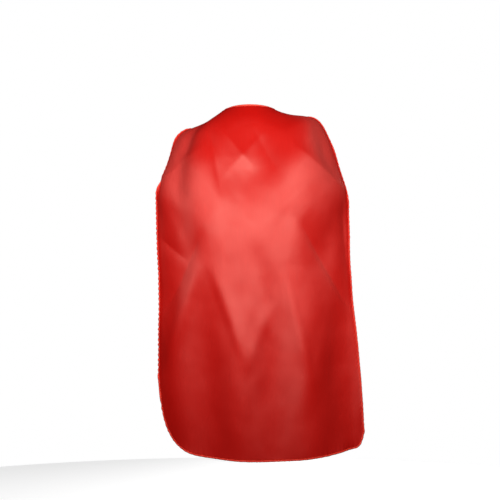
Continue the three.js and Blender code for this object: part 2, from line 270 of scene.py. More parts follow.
def closed_sheet(name, outer, inner, uv, finish):
    """A thin closed sheet between two grids. finish is the outer and the inner material."""
    rows, columns = outer.shape[:2]
    count = rows * columns
    faces = grid_faces(rows, columns) + grid_faces(rows, columns, count, flip=True)
    rim = rim_of(rows, columns)
    edges = zip(rim, rim[1:] + rim[:1])
    faces += [(a, b, b + count, a + count) for a, b in edges]
    sides = (rows - 1) * (columns - 1)
    face_finish = [0] * sides + [1] * (len(faces) - sides)
    vertices = np.concatenate([outer.reshape(-1, 3), inner.reshape(-1, 3)])
    uvs = np.concatenate([uv.reshape(-1, 2)] * 2)
    return mesh_piece(name, vertices, faces, uvs, finish, face_finish)


def tube_faces(first, rings, corners):
    """Faces round a tube, and over its ends. Its vertices are numbered ring by ring from first."""
    faces = []
    for ring in range(rings - 1):
        near = first + ring * corners
        for corner in range(corners):
            turn = (corner + 1) % corners
            faces.append((near + corner, near + turn, near + corners + turn, near + corners + corner))
    last = first + (rings - 1) * corners
    faces.append(tuple(range(first, first + corners))[::-1])
    faces.append(tuple(range(last, last + corners)))
    return faces


def sweep(name, sections, centres, along, above, finish):
    """A tube: sections[ring, corner] are its [along, above] offsets in metres from each centre."""
    rings, corners = sections.shape[:2]
    offsets = sections[..., :1] * along[:, None] + sections[..., 1:] * above[:, None]
    vertices = centres[:, None] + offsets
    run = np.r_[0, np.cumsum(np.linalg.norm(np.diff(centres, axis=0), axis=1))]
    sides = np.linspace(0, 1, corners, endpoint=False)
    girth = np.linalg.norm(np.diff(vertices[0], axis=0), axis=1).sum()
    uvs = np.stack(np.broadcast_arrays(run[:, None], sides[None] * girth), axis=-1)
    faces = tube_faces(0, rings, corners)
    piece = mesh_piece(name, vertices.reshape(-1, 3), faces, uvs.reshape(-1, 2), [finish])
    face_out(piece)
    return piece


def face_out(piece):
    """Turns a closed mesh's faces so that they all look outwards."""
    shape = bmesh.new()
    shape.from_mesh(piece.data)
    bmesh.ops.recalc_face_normals(shape, faces=shape.faces)
    shape.to_mesh(piece.data)
    shape.free()


def stitch_row(name, path, above, finish, length=2.6, gap=0.9, radius=0.28, closed=False):
    """A row of separate stitches along a path, each a short thread that dips into the cloth."""
    if closed:
        path = np.concatenate([path, path[:1]])
        above = np.concatenate([above, above[:1]])
    run = np.r_[0, np.cumsum(np.linalg.norm(np.diff(path, axis=0), axis=1))]
    pitch = (length + gap) * MM
    starts = np.arange(0, run[-1] - length * MM, pitch)

    def at(values, places):
        return np.stack([np.interp(places, run, values[:, axis]) for axis in range(3)], axis=-1)

    rings = np.array([-1, -0.75, -0.35, 0, 0.35, 0.75, 1])
    angles = np.linspace(0, 2 * math.pi, 6, endpoint=False)
    vertices, faces = [], []
    for start in starts:
        places = start + (rings + 1) / 2 * length * MM
        middle = at(path, places)
        up = unit(at(above, places))
        side = unit(np.cross(np.gradient(middle, axis=0), up))
        lift = radius * MM * (1.2 - 1.9 * rings**2)
        girth = radius * MM * (1 - 0.75 * rings**4)
        first = len(vertices)
        for ring in range(len(rings)):
            centre = middle[ring] + up[ring] * lift[ring]
            for angle in angles:
                turn = side[ring] * math.cos(angle) + up[ring] * math.sin(angle)
                vertices.append(centre + turn * girth[ring])
        faces += tube_faces(first, len(rings), len(angles))
    uvs = [(vertex[0], vertex[2]) for vertex in vertices]
    piece = mesh_piece(name, vertices, faces, uvs, [finish])
    face_out(piece)
    return piece


# ---------------- materials


def srgb(red, green, blue):
    """A colour from 0 to 255 as the linear values that Blender's sockets take."""

    def linear(value):
        share = value / 255
        return share / 12.92 if share <= 0.04045 else ((share + 0.055) / 1.055) ** 2.4

    return (linear(red), linear(green), linear(blue), 1)


WAVE_REPEAT = 314.16  # millimetres between a wave texture's bands at a scale of 1


class Finish:
    """A material being built: short calls that add nodes and join them to its main shader."""

    def __init__(self, name, roughness, specular=0.5, anisotropy=0.0, sheen=0.0):
        self.material = bpy.data.materials.new(name)
        self.material.use_nodes = True
        self.tree = self.material.node_tree
        self.shader = self.tree.nodes["Principled BSDF"]
        self.shader.inputs["Roughness"].default_value = roughness
        self.shader.inputs["Specular IOR Level"].default_value = specular
        self.shader.inputs["Anisotropic"].default_value = anisotropy
        self.shader.inputs["Sheen Weight"].default_value = sheen
        self.uv = self.add("ShaderNodeUVMap", uv_map="cloth").outputs["UV"]

    def add(self, kind, **settings):
        node = self.tree.nodes.new(kind)
        for name, value in settings.items():
            setattr(node, name, value)
        return node

    def join(self, output, socket):
        self.tree.links.new(output, socket)

    def stretched(self, across, down, turn=0.0):
        """The cloth's own coordinates, scaled and turned."""
        mapping = self.add("ShaderNodeMapping")
        mapping.inputs["Scale"].default_value = (across, down, 1)
        mapping.inputs["Rotation"].default_value = (0, 0, turn)
        self.join(self.uv, mapping.inputs["Vector"])
        return mapping.outputs["Vector"]

    def blotches(self, scale, detail=2.0, distortion=0.0, vector=None):
        """Soft irregular patches, this many to the metre."""
        texture = self.add("ShaderNodeTexNoise")
        texture.inputs["Scale"].default_value = scale
        texture.inputs["Detail"].default_value = detail
        texture.inputs["Distortion"].default_value = distortion
        self.join(self.uv if vector is None else vector, texture.inputs["Vector"])
        return texture.outputs["Fac"]

    def threads(self, period, vector=None, direction="X", distortion=0.0):
        """Parallel threads this far apart, in millimetres."""
        texture = self.add("ShaderNodeTexWave", bands_direction=direction)
        texture.inputs["Scale"].default_value = WAVE_REPEAT / period
        texture.inputs["Distortion"].default_value = distortion
        self.join(self.uv if vector is None else vector, texture.inputs["Vector"])
        return texture.outputs["Fac"]

    def mixed(self, factor, first, second):
        """A colour between two, by a factor."""
        mix = self.add("ShaderNodeMix", data_type="RGBA")
        mix.inputs["A"].default_value = first
        mix.inputs["B"].default_value = second
        self.join(factor, mix.inputs["Factor"])
        return mix.outputs["Result"]

    def ranged(self, value, low, high, start=0.0, end=1.0):
        """A value from start to end, moved to low to high."""
        node = self.add("ShaderNodeMapRange")
        node.inputs["From Min"].default_value = start
        node.inputs["From Max"].default_value = end
        node.inputs["To Min"].default_value = low
        node.inputs["To Max"].default_value = high
        self.join(value, node.inputs["Value"])
        return node.outputs["Result"]

    def total(self, first, second, operation="ADD"):
        """Two values added, multiplied or otherwise joined."""
        node = self.add("ShaderNodeMath", operation=operation)
        self.join(first, node.inputs[0])
        self.join(second, node.inputs[1])
        return node.outputs[0]

    def bumps(self, *layers):
        """Raises the surface by (height, strength, depth in millimetres) layers, coarse to fine."""
        below = None
        for height, strength, depth in layers:
            node = self.add("ShaderNodeBump")
            node.inputs["Strength"].default_value = strength
            node.inputs["Distance"].default_value = depth * MM
            self.join(height, node.inputs["Height"])
            if below is not None:
                self.join(below, node.inputs["Normal"])
            below = node.outputs["Normal"]
        self.join(below, self.shader.inputs["Normal"])

    def colour(self, output):
        self.join(output, self.shader.inputs["Base Color"])

    def roughness(self, output):
        self.join(output, self.shader.inputs["Roughness"])

    def brushed(self):
        """Turns the stretched highlight across the threads that run down the cloth."""
        tangent = self.add("ShaderNodeTangent", direction_type="UV_MAP", uv_map="cloth")
        self.join(tangent.outputs["Tangent"], self.shader.inputs["Tangent"])


def satin(name, deep, bright, roughness, specular, anisotropy):
    """Polyester satin: long threads down the cloth, crossed by a finer weft, with soft creases."""
    cloth = Finish(name, roughness, specular, anisotropy)
    cloth.shader.inputs["Specular Tint"].default_value = srgb(255, 182, 168)
    cloth.shader.inputs["IOR"].default_value = 1.6
    patches = cloth.blotches(9, detail=4, distortion=0.6)
    slubs = cloth.blotches(420, detail=2, vector=cloth.stretched(1, 0.06))
    cloth.colour(cloth.mixed(cloth.total(patches, slubs, "MULTIPLY"), deep, bright))
    cloth.roughness(cloth.ranged(patches, roughness - 0.05, roughness + 0.05, 0.3, 0.7))
    warp = cloth.threads(0.36, distortion=0.4)
    weft = cloth.threads(0.9, direction="Y", distortion=0.8)
    creases = cloth.blotches(22, detail=3, distortion=1.2)
    cloth.bumps(
        (creases, 0.12, 1.6),
        (slubs, 0.2, 0.08),
        (cloth.total(warp, weft), 0.35, 0.03),
    )
    cloth.brushed()
    return cloth.material


def thread_trim():
    """Dense overlock thread round a rolled edge."""
    trim = Finish("rolled_edge", 0.6, 0.25)
    wraps = trim.threads(1.5, vector=trim.stretched(1, 1, math.radians(32)), distortion=0.5)
    dashes = trim.blotches(260, detail=2, distortion=0.5)
    both = trim.total(wraps, dashes, "MULTIPLY")
    trim.colour(trim.mixed(both, srgb(196, 30, 18), srgb(232, 78, 52)))
    trim.roughness(trim.ranged(dashes, 0.42, 0.6))
    trim.bumps((dashes, 0.3, 0.3), (wraps, 0.6, 0.22))
    return trim.material


def bias_tape():
    """The folded satin tape that binds the neckline."""
    tape = Finish("bias_tape", 0.42, 0.5, 0.3, sheen=0.1)
    slubs = tape.blotches(380, detail=2, vector=tape.stretched(0.2, 1))
    weave = tape.threads(0.4, vector=tape.stretched(1, 1, math.radians(45)), distortion=0.3)
    gathers = tape.threads(5.5, distortion=2.5)
    tape.colour(tape.mixed(slubs, srgb(214, 44, 30), srgb(240, 88, 64)))
    tape.roughness(tape.ranged(slubs, 0.36, 0.5))
    tape.bumps((gathers, 0.35, 0.35), (slubs, 0.25, 0.08), (weave, 0.4, 0.03))
    tape.brushed()
    return tape.material


def sewing_thread():
    """Twisted polyester thread."""
    thread = Finish("sewing_thread", 0.55, 0.4, 0.0, sheen=0.2)
    ply = thread.threads(0.5, vector=thread.stretched(1, 1, math.radians(40)))
    fuzz = thread.blotches(900, detail=2)
    thread.colour(thread.mixed(fuzz, srgb(196, 40, 26), srgb(238, 92, 66)))
    thread.roughness(thread.ranged(fuzz, 0.45, 0.7))
    thread.bumps((ply, 0.5, 0.08))
    return thread.material


def hook_tape():
    """Woven nylon ground of the hook patch, and its stiff hooks."""
    tape = Finish("hook_tape", 0.45, 0.5)
    weave = tape.total(tape.threads(0.7), tape.threads(0.7, direction="Y"), "MULTIPLY")
    wear = tape.blotches(300, detail=3)
    tape.colour(tape.mixed(wear, srgb(120, 16, 12), srgb(168, 32, 24)))
    tape.roughness(tape.ranged(wear, 0.38, 0.55))
    tape.bumps((weave, 0.6, 0.12))
    return tape.material


def loop_tape():
    """The brushed pile of the loop patch."""
    tape = Finish("loop_tape", 0.9, 0.2, sheen=0.5)
    pile = tape.blotches(1300, detail=4, distortion=1.5)
    tufts = tape.blotches(420, detail=2)
    tape.colour(tape.mixed(pile, srgb(112, 14, 12), srgb(186, 42, 34)))
    tape.roughness(tape.ranged(pile, 0.8, 1.0))
    tape.bumps((tufts, 0.5, 0.4), (pile, 0.8, 0.25))
    return tape.material


def label_tape():
    """White woven ribbon with a fine horizontal rib."""
    ribbon = Finish("label_tape", 0.5, 0.4, 0.2, sheen=0.1)
    ribs = ribbon.threads(0.5, direction="Y", distortion=0.3)
    weave = ribbon.total(ribs, ribbon.threads(0.35))
    shade = ribbon.blotches(90, detail=3)
    ribbon.colour(ribbon.mixed(shade, srgb(222, 219, 210), srgb(246, 244, 238)))
    ribbon.roughness(ribbon.ranged(shade, 0.42, 0.6))
    ribbon.bumps((weave, 0.45, 0.05))
    return ribbon.material


SATIN = satin("satin_face", srgb(168, 9, 5), srgb(190, 15, 9), 0.58, 0.9, 0.76)
SATIN_BACK = satin("satin_reverse", srgb(150, 14, 10), srgb(176, 22, 16), 0.66, 0.3, 0.2)
TRIM = thread_trim()
BIAS = bias_tape()
THREAD = sewing_thread()
HOOKS = hook_tape()
PILE = loop_tape()
RIBBON = label_tape()


# ---------------- the cloth's drape

# The wearer's shoulders, arms and hips that the cape hangs on, in metres: two ends and two radii.
# Those of the right side; the left side mirrors them.
SHOULDER = ((0.03, -0.012, -0.048), (0.128, -0.012, -0.090), 0.040, 0.042)
UPPER_ARM = ((0.138, -0.008, -0.090), (0.186, -0.048, -0.236), 0.046, 0.036)
FOREARM = ((0.186, -0.048, -0.236), (0.125, 0.06, -0.40), 0.034, 0.028)
SHOULDER_BLADE = ((0.075, -0.052, -0.135), (0.075, -0.052, -0.19), 0.066, 0.066)
RIBS = ((0.055, -0.03, -0.14), (0.045, -0.02, -0.38), 0.088, 0.084)
HIP = ((0.062, -0.034, -0.48), (0.068, -0.034, -0.52), 0.090, 0.090)
LEG = ((0.078, -0.02, -0.56), (0.08, 0.01, -0.95), 0.078, 0.055)
NECK = ((0, 0.012, 0.10), (0, 0.004, -0.05), 0.049, 0.052)


def limb(shape, first, last, first_radius, last_radius):
    """Adds overlapping balls from first to last, for the remesh to join."""
    first, last = Vector(first), Vector(last)
    steps = max(2, int((last - first).length / 0.012) + 1)
    for step in range(steps):
        share = step / (steps - 1)
        radius = first_radius + (last_radius - first_radius) * share
        place = Matrix.Translation(first.lerp(last, share))
        bmesh.ops.create_icosphere(shape, subdivisions=3, radius=radius, matrix=place)


def wearer():
    """A plain stand-in for the wearer, which only holds the cloth up while it is draped."""
    shape = bmesh.new()
    limb(shape, *NECK)
    for side in (-1, 1):
        for part in (SHOULDER, UPPER_ARM, FOREARM, SHOULDER_BLADE, RIBS, HIP, LEG):
            ends = [Vector(point) for point in part[:2]]
            for end in ends:
                end.x *= side
                if part in (SHOULDER, UPPER_ARM) and end.z > -0.1 and end.x * side > 0.1:
                    end.z += (SHOULDER_RAISE if side > 0 else -SHOULDER_DROP) * MM
            limb(shape, *ends, *part[2:])
    mesh = bpy.data.meshes.new("wearer")
    shape.to_mesh(mesh)
    shape.free()
    body = bpy.data.objects.new("wearer", mesh)
    scene.collection.objects.link(body)
    remesh = body.modifiers.new("join", "REMESH")
    remesh.mode = "VOXEL"
    remesh.voxel_size = 0.009
    smooth = body.modifiers.new("smooth", "SMOOTH")
    smooth.iterations = 8
    smooth.factor = 0.5
    body.modifiers.new("collision", "COLLISION")
    body.collision.thickness_outer = 0.002
    body.collision.cloth_friction = 2
    body.collision.damping = 0.3
    return body


def drape(grid, seam_rows):
    """The grid after the cloth has settled on the wearer, held along the neckline and tab seams."""
    rows, columns = grid.shape[:2]
    cloth = mesh_piece("drape", grid.reshape(-1, 3), grid_faces(rows, columns))
    held = list(range(2 * columns))
    for row in range(seam_rows + 1):
        held += [row * columns, row * columns + columns - 1]
    pins = cloth.vertex_groups.new(name="held")
    pins.add(sorted(set(held)), 1.0, "REPLACE")
    body = wearer()
    modifier = cloth.modifiers.new("cloth", "CLOTH")
    settings = modifier.settings
    settings.quality = 8
    settings.mass = 0.0004
    settings.air_damping = 0.8
    settings.tension_stiffness = 20
    settings.compression_stiffness = 12
    settings.shear_stiffness = 3
    settings.bending_stiffness = 0.0006
    settings.tension_damping = 5
    settings.compression_damping = 5
    settings.shear_damping = 2
    settings.bending_damping = 0.1
    settings.vertex_group_mass = "held"
    modifier.collision_settings.collision_quality = 3
    modifier.collision_settings.distance_min = 0.003
    modifier.collision_settings.use_self_collision = False
    modifier.point_cache.frame_start = 1
    modifier.point_cache.frame_end = DRAPE_FRAMES + 1
    scene.gravity = (0.30, 0, -9.81)
    scene.frame_start = 1
    scene.frame_end = DRAPE_FRAMES + 1
    for moment in range(1, DRAPE_FRAMES + 1):
        scene.frame_set(moment)
    settled = cloth.evaluated_get(bpy.context.evaluated_depsgraph_get()).data
    places = np.zeros(rows * columns * 3)
    settled.vertices.foreach_get("co", places)
    bpy.data.objects.remove(cloth)
    bpy.data.objects.remove(body)
    scene.frame_set(1)
    return places.reshape(rows, columns, 3)


def calmed(grid, times):
    """The grid with the small ripples of the simulation smoothed out, and its held edge kept."""
    for turn in range(times):
        calmer = grid.copy()
        beside = grid[2:-1, :-2] + grid[2:-1, 2:] + grid[1:-2, 1:-1] + grid[3:, 1:-1]
        calmer[2:-1, 1:-1] = grid[2:-1, 1:-1] / 2 + beside / 8
        if turn < EDGE_CALM:
            for edge in (0, -1):
                along = grid[HELD_ROWS - 1 : -2, edge] + grid[HELD_ROWS + 1 :, edge]
                calmer[HELD_ROWS:-1, edge] = grid[HELD_ROWS:-1, edge] / 2 + along / 4
            calmer[-1, 1:-1] = grid[-1, 1:-1] / 2 + (grid[-1, :-2] + grid[-1, 2:]) / 4
        grid = calmer
    return grid


def refined(grid, times):
    """The grid with this many times the rows and columns, on smooth curves through the first ones."""
    for axis in (0, 1):
        lines = np.moveaxis(grid, axis, 0)
        last = len(lines) - 1
        at = np.linspace(0, last, last * times + 1)
        first = np.minimum(at.astype(int), last - 1)
        t = (at - first)[:, None, None]
        before = np.concatenate([2 * lines[:1] - lines[1:2], lines, 2 * lines[-1:] - lines[-2:-1]])
        a, b, c, d = (before[first + step] for step in range(4))
        square = a - 2.5 * b + 2 * c - 0.5 * d
        cube = 1.5 * (b - c) + 0.5 * (d - a)
        lines = b + 0.5 * (c - a) * t + square * t**2 + cube * t**3
        grid = np.moveaxis(lines, 0, axis)
    return grid


def normals_of(grid):
    """Directions away from the wearer, at each point of a grid."""
    return unit(np.cross(np.gradient(grid, axis=0), np.gradient(grid, axis=1)))


def lengths_of(grid):
    """Each point's distance across the cloth from its middle column, and down it from the neckline."""
    across = np.linalg.norm(np.diff(grid, axis=1), axis=2)
    across = np.concatenate([np.zeros((len(grid), 1)), np.cumsum(across, axis=1)], axis=1)
    across -= across[:, across.shape[1] // 2][:, None]
    down = np.linalg.norm(np.diff(grid, axis=0), axis=2)
    down = np.concatenate([np.zeros((1, grid.shape[1])), np.cumsum(down, axis=0)])
    return np.stack([across, -down], axis=-1)


# Folds that the pose leaves in the cloth, seen from behind, in millimetres: two ends as (towards the
# wearer's right, down from the nape), the width on the left and on the right, and the height.
CREASES = [
    # The sharp ridges from each shoulder to the elbow, where the cloth stops sloping and hangs.
    ((96, 96), (240, 226), 120, 26, 12.0),
    ((-120, 112), (-232, 206), 22, 110, 9.0),
    # Creases between the shoulder blades.
    ((-98, 66), (-72, 205), 14, 22, -3.6),
    ((-72, 60), (2, 150), 14, 16, 2.2),
    ((34, 70), (-62, 176), 16, 14, 2.0),
    ((8, 60), (54, 150), 14, 18, -2.8),
    # The folds below each elbow.
    ((-128, 340), (-200, 500), 22, 12, -5.0),
    ((-214, 330), (-160, 376), 14, 18, -2.4),
    ((124, 296), (238, 486), 12, 34, -7.0),
    ((226, 250), (240, 400), 16, 10, -4.0),
]
FOLDS = [
    # The soft slope of the cloth over the shoulder blades, above where it hangs.
    ((-110, 128), (90, 122), 60, 34, 3.0),
    # The folds that fan out from the back to the waist.
    ((-84, 410), (-14, 610), 14, 22, 4.2),
    ((44, 500), (-8, 640), 18, 14, 2.6),
    ((-126, 400), (-186, 600), 16, 18, 5.4),
    ((90, 440), (138, 650), 16, 14, 5.4),
    ((20, 360), (52, 520), 20, 20, -3.0),
]
FLARE = 10  # depth of the three broad folds that open below the waist
FLARE_PITCH = 160
FLARE_MIDDLE = -25


def fold_height(x, drop, folds, power):
    """How far a set of folds stands out at each place on the cloth. A power of 1 is a sharp crease."""
    height = np.zeros_like(x)
    for first, last, left, right, most in folds:
        start, run = np.array(first, float), np.subtract(last, first)
        length = np.linalg.norm(run)
        side = np.array([run[1], -run[0]]) / length
        side *= math.copysign(1, side[0])
        along = ((x - start[0]) * run[0] + (drop - start[1]) * run[1]) / length**2
        out = (x - start[0]) * side[0] + (drop - start[1]) * side[1]
        ends = smoothstep(along, -0.25, 0.3) * (1 - smoothstep(along, 0.7, 1.25))
        width = np.where(out < 0, left, right)
        height += most * ends * np.exp(-((np.abs(out) / width) ** power))
    return height


def flare_height(x, drop):
    """The broad folds that open below the waist, deeper as they come down."""
    wave = np.cos(2 * math.pi * (x - FLARE_MIDDLE) / FLARE_PITCH)
    return FLARE * smoothstep(drop, 370, 660) * wave * (1 - 0.35 * smoothstep(drop, 700, 860))


def crumple(x, drop):
    """Small irregular waves, as satin keeps after it is handled."""
    height = np.zeros(x.size)
    for place, (across, down) in enumerate(zip(x.ravel(), drop.ravel())):
        broad = noise.noise(Vector((across / 46, down / 80, 3.0)))
        fine = noise.noise(Vector((across / 19, down / 34, 9.0)))
        height[place] = 1.5 * broad + 0.25 * fine
    return height.reshape(x.shape)


def edge_pucker(grid, uv):
    """The gathering that the rolled edge's thread pulls into the cloth beside it."""
    width = np.minimum(uv[..., 0] - uv[:, :1, 0], uv[:, -1:, 0] - uv[..., 0]) / MM
    height = (uv[..., 1] - uv[-1:, :, 1]) / MM
    side = np.exp(-width / 9) * np.sin(2 * math.pi * uv[..., 1] / MM / PUCKER + 3 * grid[..., 2] / 0.05)
    hem = np.exp(-height / 9) * np.sin(2 * math.pi * uv[..., 0] / MM / PUCKER + 2 * grid[..., 0] / 0.05)
    return np.clip(0.3 * side + 0.6 * hem, -0.6, 0.6)


def cape_grid():
    """The finished middle surface of the cape's panel, and the row where the tab seams end."""
    grid, seam_rows = worn_grid()
    grid = drape(grid, seam_rows)
    grid = refined(calmed(grid, CALM), REFINE)
    x = grid[..., 0] / MM
    drop = -grid[..., 2] / MM
    free = smoothstep(drop, 34, 80)
    sculpted = fold_height(x, drop, CREASES, 1.3) + fold_height(x, drop, FOLDS, 2)
    sculpted += flare_height(x, drop) + crumple(x, drop)
    sculpted = sculpted * free + edge_pucker(grid, lengths_of(grid)) * smoothstep(drop, 40, 60)
    grid = grid + normals_of(grid) * sculpted[..., None] * MM
    return grid, seam_rows * REFINE


CAPE, SEAM_ROW = cape_grid()
CAPE_NORMALS = normals_of(CAPE)
CAPE_UV = lengths_of(CAPE)


def swings(piece):
    """Bakes the piece's placement into its mesh."""
    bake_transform(piece)


def cape_panel():
    """The one panel of satin, with its duller reverse towards the wearer."""
    half = CAPE_NORMALS * (CLOTH / 2 * MM)
    panel = closed_sheet("cape_panel", CAPE + half, CAPE - half, CAPE_UV, [SATIN, SATIN_BACK])
    face_out(panel)
    swings(panel)
    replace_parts(panel, "panel_upper", "panel_lower")
    return panel


def resampled(line, normals, pitch):
    """A line of points at an even pitch, with the normals there."""
    run = np.r_[0, np.cumsum(np.linalg.norm(np.diff(line, axis=0), axis=1))]
    places = np.linspace(0, run[-1], int(run[-1] / pitch) + 1)
    points = np.stack([np.interp(places, run, line[:, axis]) for axis in range(3)], axis=-1)
    above = np.stack([np.interp(places, run, normals[:, axis]) for axis in range(3)], axis=-1)
    return points, unit(above), places


def rounded(line, times):
    """A line of points with its small corners smoothed away."""
    for _ in range(times):
        line = np.concatenate([line[:1], (line[:-2] + 2 * line[1:-1] + line[2:]) / 4, line[-1:]])
    return line


def rolled_edge():
    """The narrow hem, rolled over and overlocked, down both fronts and along the bottom."""
    first = SEAM_ROW + 1
    rows = [
        (CAPE[first:, 0], CAPE_NORMALS[first:, 0]),
        (CAPE[-1, 1:-1], CAPE_NORMALS[-1, 1:-1]),
        (CAPE[:first - 1:-1, -1], CAPE_NORMALS[:first - 1:-1, -1]),
    ]
    line = np.concatenate([points for points, _ in rows])
    normals = np.concatenate([above for _, above in rows])
    points, above, run = resampled(line, normals, 0.9 * MM)
    points = rounded(points, 4)
    tangent = unit(np.gradient(points, axis=0))
    along = unit(np.cross(above, tangent))
    above = unit(np.cross(tangent, along))
    angles = np.linspace(0, 2 * math.pi, 10, endpoint=False)
    turns = 2 * math.pi * run[:, None] / (3.4 * MM)
    ridge = 1 + 0.13 * np.sin(turns + 2 * angles[None])
    wander = np.array([noise.noise(Vector((place / 0.011, 0, 5))) for place in run])[:, None]
    across = (HEM_HALF * ridge * np.cos(angles) + 0.5 * wander - 0.9) * MM
    thick = (HEM_THICK * ridge * np.sin(angles) + 0.15 * np.sin(turns / 2.7)) * MM
    sections = np.stack(np.broadcast_arrays(across, thick), axis=-1)
    hem = sweep("rolled_edge", sections, points, along, above, TRIM)
    swings(hem)
    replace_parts(hem, "front_hem_left", "front_hem_right", "side_hem_left", "side_hem_right", "bottom_hem")
    return hem


# ---------------- the neckline


def neckline(distance):
    """Points along the cloth, this far from the neckline in millimetres, with their frames."""
    down = unit(np.gradient(CAPE, axis=0))
    return resampled_frames(CAPE[0] + down[0] * distance * MM, CAPE_NORMALS[0], down[0])


def resampled_frames(line, above, down):
    """A line at an even pitch with the cloth's normal and downward direction there."""
    points, ups, run = resampled(line, above, 1.2 * MM)
    _, downs, _ = resampled(line, down, 1.2 * MM)
    return points, ups, downs, run


def neck_binding():
    """A bias tape folded over the panel's gathered top edge."""
    points, above, down, run = neckline(0)
    inside, outside = 0.55, 1.15
    lip = BINDING_HEIGHT
    outer = [(lip, outside * 0.8), (lip - 0.5, outside), (lip / 2, outside)]
    for turn in np.linspace(math.pi / 2, -math.pi / 2, 9):
        outer.append((-outside * math.cos(turn) - 0.3, outside * math.sin(turn)))
    outer += [(lip / 2, -outside), (lip - 0.5, -outside), (lip, -outside * 0.8)]
    inner = [(lip, -inside), (0.6, -inside), (0.3, 0), (0.6, inside), (lip, inside)]
    profile = np.array(outer + inner)
    sections = np.repeat(profile[None], len(points), axis=0)
    gather = 1 + 0.10 * np.sin(2 * math.pi * run / (6.5 * MM))
    gather += 0.05 * np.sin(2 * math.pi * run / (15 * MM))
    sections[:, : len(outer), 1] *= gather[:, None]
    piece = sweep("neck_bias_binding", sections * MM, points, down, above, BIAS)
    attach(piece, "shoulders")
    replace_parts(piece, "neck_binding")


def binding_stitches():
    """The row of stitches that closes the binding."""
    points, above, _, _ = neckline(BINDING_HEIGHT - 1.4)
    row = stitch_row("binding_stitches", points[6:-6] + above[6:-6] * 1.15 * MM, above[6:-6], THREAD)
    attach(row, "shoulders")
    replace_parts(row, "binding_stitching")


def care_label():
    """The blank label inside the nape, sewn along its top edge."""
    middle = CAPE.shape[1] // 2
    reach = int(round(LABEL_REACH * CAPE.shape[1]))
    columns = slice(middle - reach, middle + reach + 1)
    rows = slice(LABEL_TOP, LABEL_TOP + LABEL_ROWS)
    patch = CAPE[rows, columns]
    into = CAPE_NORMALS[rows, columns]
    hang = np.linspace(0, 1, LABEL_ROWS)[:, None, None]
    patch = patch - into * (1.5 + 1.5 * hang) * MM
    curl = np.linspace(-1, 1, 2 * reach + 1)[None, :, None]
    patch = patch + into * (0.9 * hang * np.cos(2.6 * curl)) * MM
    normals = normals_of(patch)
    half = normals * 0.15 * MM
    uv = CAPE_UV[rows, columns]
    label = closed_sheet("care_label_ribbon", patch + half, patch - half, uv, [RIBBON, RIBBON])
    face_out(label)
    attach(label, "shoulders")
    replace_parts(label, "care_label")
    line, inward = patch[1, 2:-2], -normals[1, 2:-2]
    row = stitch_row("care_label_stitches", line + inward * 0.2 * MM, inward, THREAD, length=2.2)
    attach(row, "shoulders")
    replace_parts(row, "care_label_stitching")


# ---------------- the closing tabs


def tab_lift(side, degrees):
    """The right tab rises over the left one where they overlap."""
    return 0 if side < 0 else TAB_LIFT * float(smoothstep(degrees, PANEL_REACH + 8, 158))


def neck_normal(degrees, distance):
    """The direction away from the wearer near the neckline."""
    along = neck_point(degrees, distance + 1) - neck_point(degrees, distance)
    run = neck_point(degrees + 0.5, distance) - neck_point(degrees - 0.5, distance)
    normal = unit(np.cross(along, run))
    return normal * math.copysign(1, normal[2])


def tab_point(side, degrees, distance, height):
    """A point on a tab in metres: its angle, its distance from the neckline and its height."""
    rise = neck_normal(degrees, distance) * (height + tab_lift(side, degrees))
    return (neck_point(degrees, distance) + rise) * (side, 1, 1) * MM


def tab_uv(degrees, distance):
    """A tab's own coordinates in metres."""
    return (degrees * ARC * MM, distance * MM)


def tab_normal(side, degrees, distance):
    """The direction away from the wearer on a tab."""
    return neck_normal(degrees, distance) * (side, 1, 1)


def tab_inset(degrees, margin):
    """How far a tab's long edges draw in at its rounded end."""
    corner = TAB_CORNER - margin
    reach = math.degrees(corner / (NECK_RADIUS + TAB_WIDTH / 2))
    start = TAB_END - margin * 45 / NECK_RADIUS - reach
    past = min(1, max(0, (degrees - start) / reach))
    return corner * (1 - math.sqrt(1 - past**2))


def tab_seam(side):
    """Two points on the tab's middle line: a little before its seam and a little beyond it."""
    seam = Vector(tab_point(side, PANEL_REACH + 0.6, TAB_WIDTH / 2, 0))
    onward = Vector(tab_point(side, PANEL_REACH + 3, TAB_WIDTH / 2, 0)) - seam
    onward.normalize()
    return seam - onward * 0.0015, seam + onward * 0.0095


def bends_at_seam(piece, side):
    """Bakes the piece's placement into its mesh. The two places about the tab's seam are worked out but not
    used.
    """
    start, end = tab_seam(side)
    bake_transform(piece)


def tab_pouch(side, word):
    """A turned-out tab: one closed satin pouch for its face and facing, drawn in where it is sewn round the
    edge; no interfacing is modelled inside.
    """
    even = np.linspace(0, 1, 64)
    angles = PANEL_REACH - 0.8 + (TAB_END - PANEL_REACH + 0.8) * np.sin(even * math.pi / 2)
    around = np.linspace(0, 2 * math.pi, 40, endpoint=False)
    rings, uvs = [], []
    for degrees in angles:
        inset = tab_inset(min(degrees, TAB_END - 0.05), 0)
        half = TAB_WIDTH / 2 - inset
        end = 1 - 0.55 * float(smoothstep(degrees, TAB_END - 5, TAB_END))
        ring = []
        for angle in around:
            across = math.copysign(abs(math.cos(angle)) ** 0.6, math.cos(angle))
            from_edge = half * (1 - abs(across))
            sewn = 1 - 0.32 * math.exp(-(((from_edge - 3) / 1.1) ** 2))
            ripple = 1 + 0.10 * math.sin(degrees * 2.4) * math.exp(-from_edge / 4)
            height = TAB_THICK * math.copysign(abs(math.sin(angle)) ** 0.7, math.sin(angle))
            distance = TAB_WIDTH / 2 + half * across
            ring.append(tab_point(side, degrees, distance, height * sewn * ripple * end))
            uvs.append(tab_uv(degrees, distance))
        rings.append(ring)
    vertices = np.array(rings).reshape(-1, 3)
    faces = tube_faces(0, len(angles), len(around))
    piece = mesh_piece(word + "_tab_pouch", vertices, faces, uvs, [SATIN])
    face_out(piece)
    bends_at_seam(piece, side)
    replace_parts(piece, *(word + "_tab_" + layer for layer in ("face", "interfacing", "facing")))


